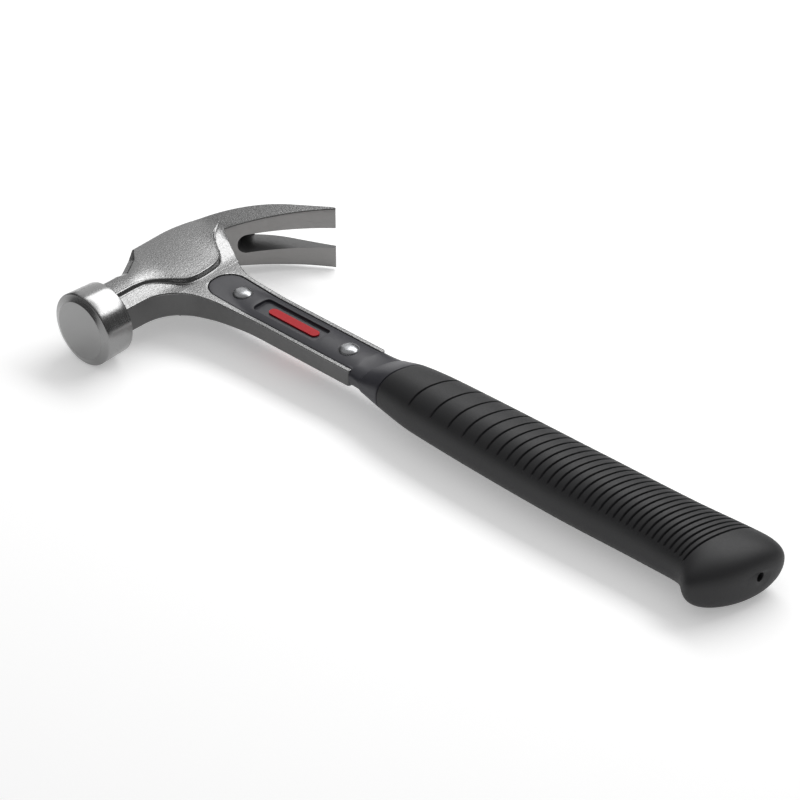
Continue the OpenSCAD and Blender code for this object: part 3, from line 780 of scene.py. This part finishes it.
def make_shank():
    """I-beam shank: a profile across the handle carried along it, from inside the head to the rims' end.

    Outer edges and the channels' lips are quarter circles. The channels open as a half circle, wider on
    the poll side, and the rims' end corners are rounded in plan. The part inside the head is drawn in.
    """
    lead = np.linspace(CUT_X - BURIED_L, CHANNEL_TOP, 6)
    opening = CHANNEL_TOP + CHANNEL_HALF * (1 - np.cos(np.linspace(0, np.pi / 2, 26)))
    end = RIM_END - RIM_CORNER
    x = np.concatenate([lead, opening, np.linspace(opening[-1], end, 60)[1:],
                        end + RIM_CORNER * np.sin(np.linspace(0, np.pi / 2, 8)[1:])])
    to_corner = np.clip((x - end) / RIM_CORNER, 0, 1)
    corner = RIM_CORNER * (1 - np.sqrt(1 - to_corner**2))
    buried = np.clip((CUT_X - x) / BURIED_STEP, 0, 1)
    throat = THROAT[2] ** 2 - (np.minimum(x, THROAT_END) - THROAT[0]) ** 2
    arc = -THROAT[1] - np.sqrt(np.maximum(throat, 0))
    poll = np.where(x < THROAT_END, arc, through(x, POLL_EDGE)) - corner - BURIED_IN * buried
    claw = through(x, CLAW_EDGE) - corner - BURIED_IN * buried
    before = np.arange(len(x)) < len(lead)
    to_end = np.maximum(CHANNEL_TOP + CHANNEL_HALF - x, 0)
    claw_gap = np.where(before, 0, np.sqrt(np.maximum(CHANNEL_HALF**2 - to_end**2, 0)))
    poll_gap = np.where(before, 0, claw_gap + poll_flare(x))
    top = rim_z(x) - BURIED_DOWN * buried
    web = np.where(before, top, WEB)
    lip = np.where(before, 0, CHANNEL_LIP)
    columns = []
    for side, wide, gap in ((-1, poll, poll_gap), (1, claw, claw_gap)):
        part = []
        for t in np.linspace(0, 1, WALL_FACES + 1):
            part.append((side * wide, (top - RIM_R) * t))
        for turn in np.linspace(0, np.pi / 2, 7)[1:]:
            part.append((side * (wide - RIM_R * (1 - math.cos(turn))), top - RIM_R * (1 - math.sin(turn))))
        for t in np.linspace(0, 1, 6)[1:]:
            part.append((side * mix(wide - RIM_R, gap + lip, t), top))
        for turn in np.linspace(0, np.pi / 2, 5)[1:]:
            part.append((side * (gap + lip * (1 - math.sin(turn))), top - lip * (1 - math.cos(turn))))
        part.append((side * gap, web))
        for across, z in (part if side < 0 else part[::-1]):
            columns.append(np.stack([x, across, z], -1))
    half = np.stack(columns, 1)
    lower = half[:, ::-1] * np.array([1, 1, -1])
    loop = np.concatenate([half, lower], 1)
    rows, cols = loop.shape[:2]
    # The loop begins and ends on the poll side's wall, and its middle is on the claws' side
    index = np.full((rows - 1, cols), FORGED)
    middle = cols // 2
    # The side walls take the dark raw steel, its tone partly painted shade where a wall faces away from the
    # light
    index[:, :WALL_FACES] = RAW_AND_SHADE
    index[:, middle - WALL_FACES - 1:middle + WALL_FACES] = RAW_AND_SHADE
    index[:, cols - WALL_FACES - 1:] = RAW_AND_SHADE
    return loop.reshape(-1, 3), grid_faces(rows, cols, True), index.ravel()


FACE_R = 13.4
BELL_R = 16.7
BELL_L = 14.5
BELL_TAPER = 0.6
BEVEL_L = 1.5
# Half width of the face's soft rim, and its drop
FACE_SOFT = 0.3
FACE_DROP = 0.27
# The soft front edge: its depth, where it starts and how far it drops, and where the straight side starts
FRONT_SOFT = 0.5
FRONT_RISE = 0.22
FRONT_DROP = 0.7
SIDE_FROM = 0.6
# The soft rear edge, and the hollow behind it
REAR_SOFT = 0.7
HOLLOW_W = 7
HOLLOW_L = 5
HOLLOW_R = 8.4
# Radius of the tiny rings that stand for the poles
POLE_R = 0.02


def make_bell():
    """Bell: a profile turned round Y, with a flat face, a bevel, a slightly tapered side and a hollow back.

    Parabolas soften the face's rim and the rear edge, a sine the front edge, and the hollow is a quarter
    ellipse.
    """
    front = FACE_REACH - BEVEL_L
    rear = front - BELL_L
    rear_r = BELL_R - BELL_TAPER
    rim_r = FACE_R - FACE_SOFT
    soft = np.linspace(0, 1, 5)
    hollow = np.linspace(np.pi / 2, 0, 10)
    face = [[POLE_R, FACE_REACH], [FACE_R / 2, FACE_REACH], [rim_r, FACE_REACH]]
    edge_r = BELL_R - FRONT_SOFT * (1 - np.sin(soft * np.pi / 2))
    hollow_r = HOLLOW_R + HOLLOW_W * (1 - np.cos(hollow))
    profile = np.concatenate([
        face,
        np.stack([rim_r + 2 * FACE_SOFT * soft, FACE_REACH - FACE_DROP * soft**2], -1),
        np.stack([edge_r, front + FRONT_RISE - FRONT_DROP * soft**1.5], -1),
        np.stack([mix(BELL_R, rear_r, soft), mix(front - SIDE_FROM, rear + REAR_SOFT, soft)], -1)[1:],
        np.stack([rear_r - REAR_SOFT * soft**2, rear + REAR_SOFT * (1 - soft)], -1)[1:],
        np.stack([hollow_r, rear - HOLLOW_L * (1 - np.sin(hollow))], -1)[1:],
        [[POLE_R, rear - HOLLOW_L]],
    ])
    turn = np.linspace(0, 2 * np.pi, 160, endpoint=False)
    r, reach = profile.T
    rows = np.stack([r[:, None] * np.cos(turn), -reach[:, None] + 0 * turn, r[:, None] * np.sin(turn)], -1)
    index = np.full((len(profile) - 1, len(turn)), TURNED)
    index[:len(face)] = FACE
    return rows.reshape(-1, 3), grid_faces(len(profile), len(turn), True), index.ravel()


def make_steel():
    """Head, shank and bell in one piece of steel."""
    points, faces, index = make_head()
    for more_points, more_faces, more_index in (make_shank(), make_bell()):
        faces = np.concatenate([faces, more_faces + len(points)])
        points = np.concatenate([points, more_points])
        index = np.concatenate([index, more_index])
    finishes = [BLASTED, TRIMMED, POLISHED, LAPPED, SCALE_AND_SHADE]
    add_piece("forged_head_and_shank", points, faces, finishes, ["head_and_shank"], index, 26)


make_steel()


# Rivets and bars

RIVETS_X = (34.2, 97.7)
RIVET_R = 2
RIVET_HEAD_R = 4.5
RIVET_SEAT = 4.5
RIVET_H = 1.8
# Superellipse power of a head's dome, as an exponent of sine and cosine, and the turn where it starts
RIVET_POWER = 0.8
RIVET_POLE = 0.005


def make_rivets():
    """Two rivets: a profile turned round an upright axis, with a superellipse dome at each end."""
    way = np.linspace(RIVET_POLE, np.pi / 2, 18)
    dome_r = RIVET_HEAD_R * np.sin(way) ** RIVET_POWER
    dome_z = RIVET_SEAT + RIVET_H * np.cos(way) ** RIVET_POWER
    shank = [[RIVET_R, RIVET_SEAT], [RIVET_R, -RIVET_SEAT]]
    r, z = np.concatenate([np.stack([dome_r, dome_z], -1), shank, np.stack([dome_r, -dome_z], -1)[::-1]]).T
    turn = np.linspace(0, 2 * np.pi, 72, endpoint=False)
    one = np.stack([r[:, None] * np.cos(turn), r[:, None] * np.sin(turn), z[:, None] + 0 * turn], -1)
    one = one.reshape(-1, 3)
    faces = grid_faces(len(r), len(turn), True)
    faces = np.concatenate([faces, faces + len(one)])
    points = np.concatenate([one + np.array([x, 0, 0]) for x in RIVETS_X])
    add_piece("domed_rivets", points, faces, [CHROME], ["rivets"])


make_rivets()

for node in ("bar_upper", "bar_lower"):
    bar = frame["nodes"][node]
    bar.data.materials.clear()
    bar.data.materials.append(RED)


# Floor, light and camera

CAMERA_AZIMUTH = math.radians(43.51)
CAMERA_ELEVATION = math.radians(34.21)
CAMERA_PLACE = np.array([942.18, -858.77, 797.95])
LENS = 155.25
SENSOR = 36
# The floor in metres, its depth below the bell's axis in millimetres and its tilt in degrees
FLOOR_SIZE = 6
FLOOR_DROP = 16.75
FLOOR_TILT = 0.55
FLOOR_GLOW = 0.33
FLOOR_ROUGH = 0.9
# Strength of the studio's walls and ceiling, and the heights on a unit sphere between which they blend
WALLS = 0.15
CEILING = 0.55
WALLS_TO = 0.5
CEILING_FROM = 0.68
# Share of that strength that is left on the camera's side, and how far round it is reached
DIM = 0.75
DIM_FROM = 0.5


def make_floor():
    """Pale floor through the lowest points of the bell and the butt."""
    mesh = bpy.data.meshes.new("floor")
    half = FLOOR_SIZE / 2
    corners = [(-half, -half, 0), (half, -half, 0), (half, half, 0), (-half, half, 0)]
    mesh.from_pydata(corners, [], [(0, 1, 2, 3)])
    floor = bpy.data.objects.new("floor", mesh)
    bpy.context.scene.collection.objects.link(floor)
    floor.location = (ZERO - np.array([0, 0, FLOOR_DROP])) * MM
    floor.rotation_euler = (0, -math.radians(FLOOR_TILT), 0)
    paper = bpy.data.materials.new("white_paper")
    paper.use_nodes = True
    shader = paper.node_tree.nodes["Principled BSDF"]
    # A third of the floor's white comes through it from below, as on a light table, so that shadows stay pale
    shader.inputs["Base Color"].default_value = linear("#fafafa")
    shader.inputs["Emission Color"].default_value = linear("#ffffff")
    shader.inputs["Emission Strength"].default_value = FLOOR_GLOW
    shader.inputs["Roughness"].default_value = FLOOR_ROUGH
    shader.inputs["Specular IOR Level"].default_value = 0
    mesh.materials.append(paper)


def add_softbox(name, place, aim, size, power):
    """Rectangular soft lamp at a place in metres, turned to its aim."""
    lamp = bpy.data.lights.new(name, "AREA")
    lamp.shape = "RECTANGLE"
    lamp.size = size[0]
    lamp.size_y = size[1]
    lamp.energy = power
    box = bpy.data.objects.new(name, lamp)
    box.location = place
    box.rotation_euler = (Vector(aim) - Vector(place)).to_track_quat("-Z", "Y").to_euler()
    bpy.context.scene.collection.objects.link(box)


def make_world():
    """Studio round the set: dark walls under a pale ceiling that dims towards the camera's side."""
    world = bpy.data.worlds.new("studio")
    bpy.context.scene.world = world
    world.use_nodes = True
    tree = world.node_tree
    ray = add(tree, "ShaderNodeTexCoord").outputs["Generated"]
    up = add(tree, "ShaderNodeSeparateXYZ", {"Vector": ray}).outputs["Z"]
    height = {"Value": up, "From Min": WALLS_TO, "From Max": CEILING_FROM, "To Min": WALLS, "To Max": CEILING}
    level = add(tree, "ShaderNodeMapRange", height, interpolation_type="SMOOTHSTEP")
    toward = {0: ray, 1: (math.sin(CAMERA_AZIMUTH), -math.cos(CAMERA_AZIMUTH), 0)}
    front = add(tree, "ShaderNodeVectorMath", toward, operation="DOT_PRODUCT").outputs["Value"]
    fade = {"Value": front, "From Min": 0, "From Max": DIM_FROM, "To Min": 1, "To Max": DIM}
    share = add(tree, "ShaderNodeMapRange", fade, interpolation_type="SMOOTHSTEP").outputs["Result"]
    strength = add(tree, "ShaderNodeMath", {0: level.outputs["Result"], 1: share}, operation="MULTIPLY")
    tree.links.new(strength.outputs["Value"], tree.nodes["Background"].inputs["Strength"])
    tree.nodes["Background"].inputs["Color"].default_value = linear("#ffffff")


make_floor()
make_world()
# A long box high behind the hammer, and a tall one far behind the head
add_softbox("overhead_softbox", (-0.1, 0.56, 0.72), (-0.1, 0, 0), (1.14, 0.3), 5.4)
add_softbox("rear_softbox", (-1.315, 0.97, 0.514), (-0.15, 0, 0.02), (0.53, 1.04), 1.56)

lens = bpy.data.cameras.new("camera")
lens.lens = LENS
lens.sensor_width = SENSOR
camera = bpy.data.objects.new("camera", lens)
back = Vector((math.sin(CAMERA_AZIMUTH) * math.cos(CAMERA_ELEVATION),
               -math.cos(CAMERA_AZIMUTH) * math.cos(CAMERA_ELEVATION), math.sin(CAMERA_ELEVATION)))
right = Vector((math.cos(CAMERA_AZIMUTH), math.sin(CAMERA_AZIMUTH), 0))
turn = Matrix((right, back.cross(right), back)).transposed()
camera.matrix_world = Matrix.Translation((CAMERA_PLACE + ZERO) * MM) @ turn.to_4x4()
bpy.context.scene.collection.objects.link(camera)
bpy.context.scene.camera = camera
bpy.context.scene.view_settings.view_transform = "Standard"
